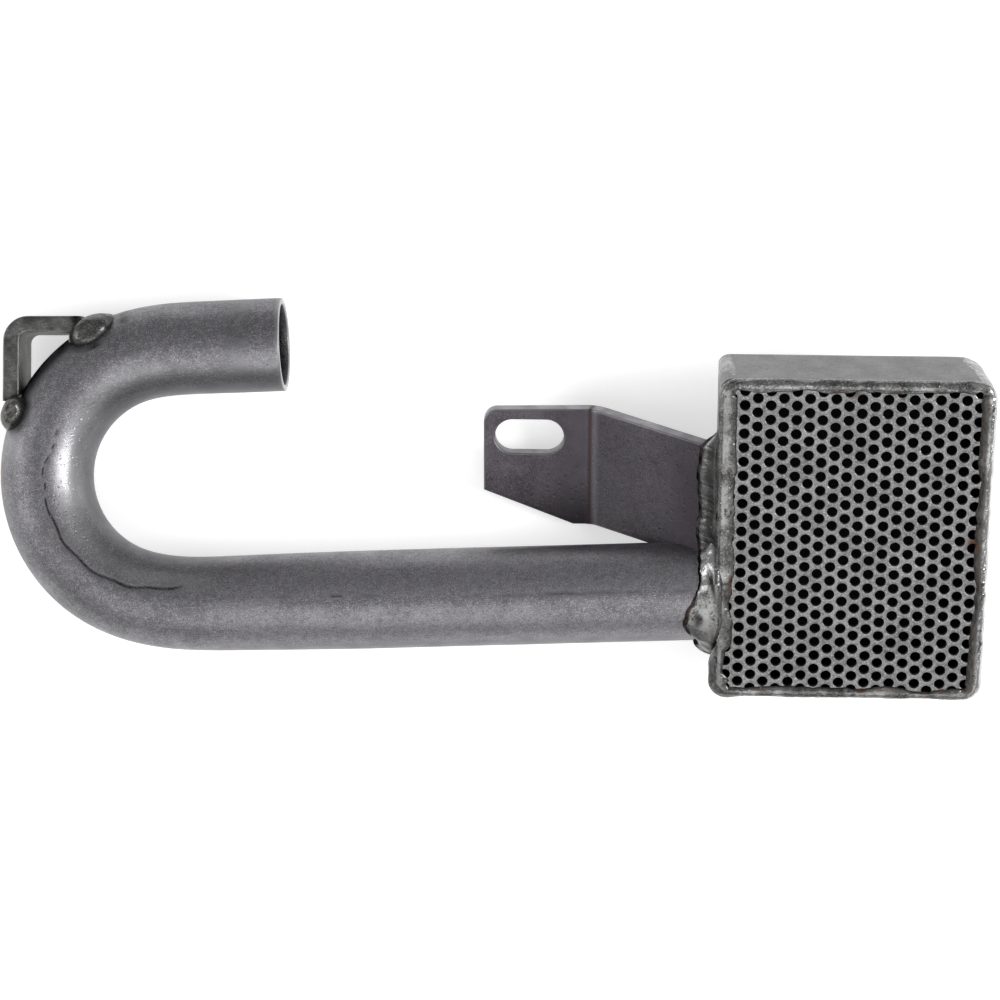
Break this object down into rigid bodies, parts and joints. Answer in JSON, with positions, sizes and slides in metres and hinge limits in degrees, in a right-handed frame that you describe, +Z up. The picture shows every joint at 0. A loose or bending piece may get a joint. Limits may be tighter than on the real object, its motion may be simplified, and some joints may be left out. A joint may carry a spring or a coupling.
{
  "type": "oil pickup tube",
  "caption": "Hooked steel oil suction tube welded to a flat rectangular strainer housing with a perforated screen, a slotted mounting bracket and a bent drive bar on the bend",
  "frame": {"origin": "centre of the underside of the part as it lies on a table", "axes": "+X along the lower leg from the bend to the housing, +Y from the lower leg to the upper leg, +Z up, towards the side of the screen"},
  "size_m": [0.1894, 0.081, 0.0407],
  "materials": {
    "tube_steel": "satin grey steel tube, finely pitted, with bending marks",
    "bar_steel": "dark sheared flat bar with soot from welding",
    "sheet_steel": "satin light grey sheet",
    "screen_steel": "plain grey perforated sheet with bright punched edges",
    "bracket_steel": "dark gunmetal strip, fine grained, with bright edges",
    "weld_steel": "bright rippled weld with brown oxide in its folds"
  },
  "bodies": {
    "root": {"pickup_tube": "tube_steel", "drive_bar": "bar_steel", "drive_bar_weld_upper": "weld_steel", "drive_bar_weld_lower": "weld_steel", "housing_tray": "sheet_steel", "corner_weld_upper_left": "weld_steel", "corner_weld_upper_right": "weld_steel", "corner_weld_lower_left": "weld_steel", "corner_weld_lower_right": "weld_steel", "perforated_screen": "screen_steel", "screen_weld": "weld_steel", "tube_weld": "weld_steel", "mount_bracket": "bracket_steel", "bracket_weld": "weld_steel"}
  },
  "joints": []
}
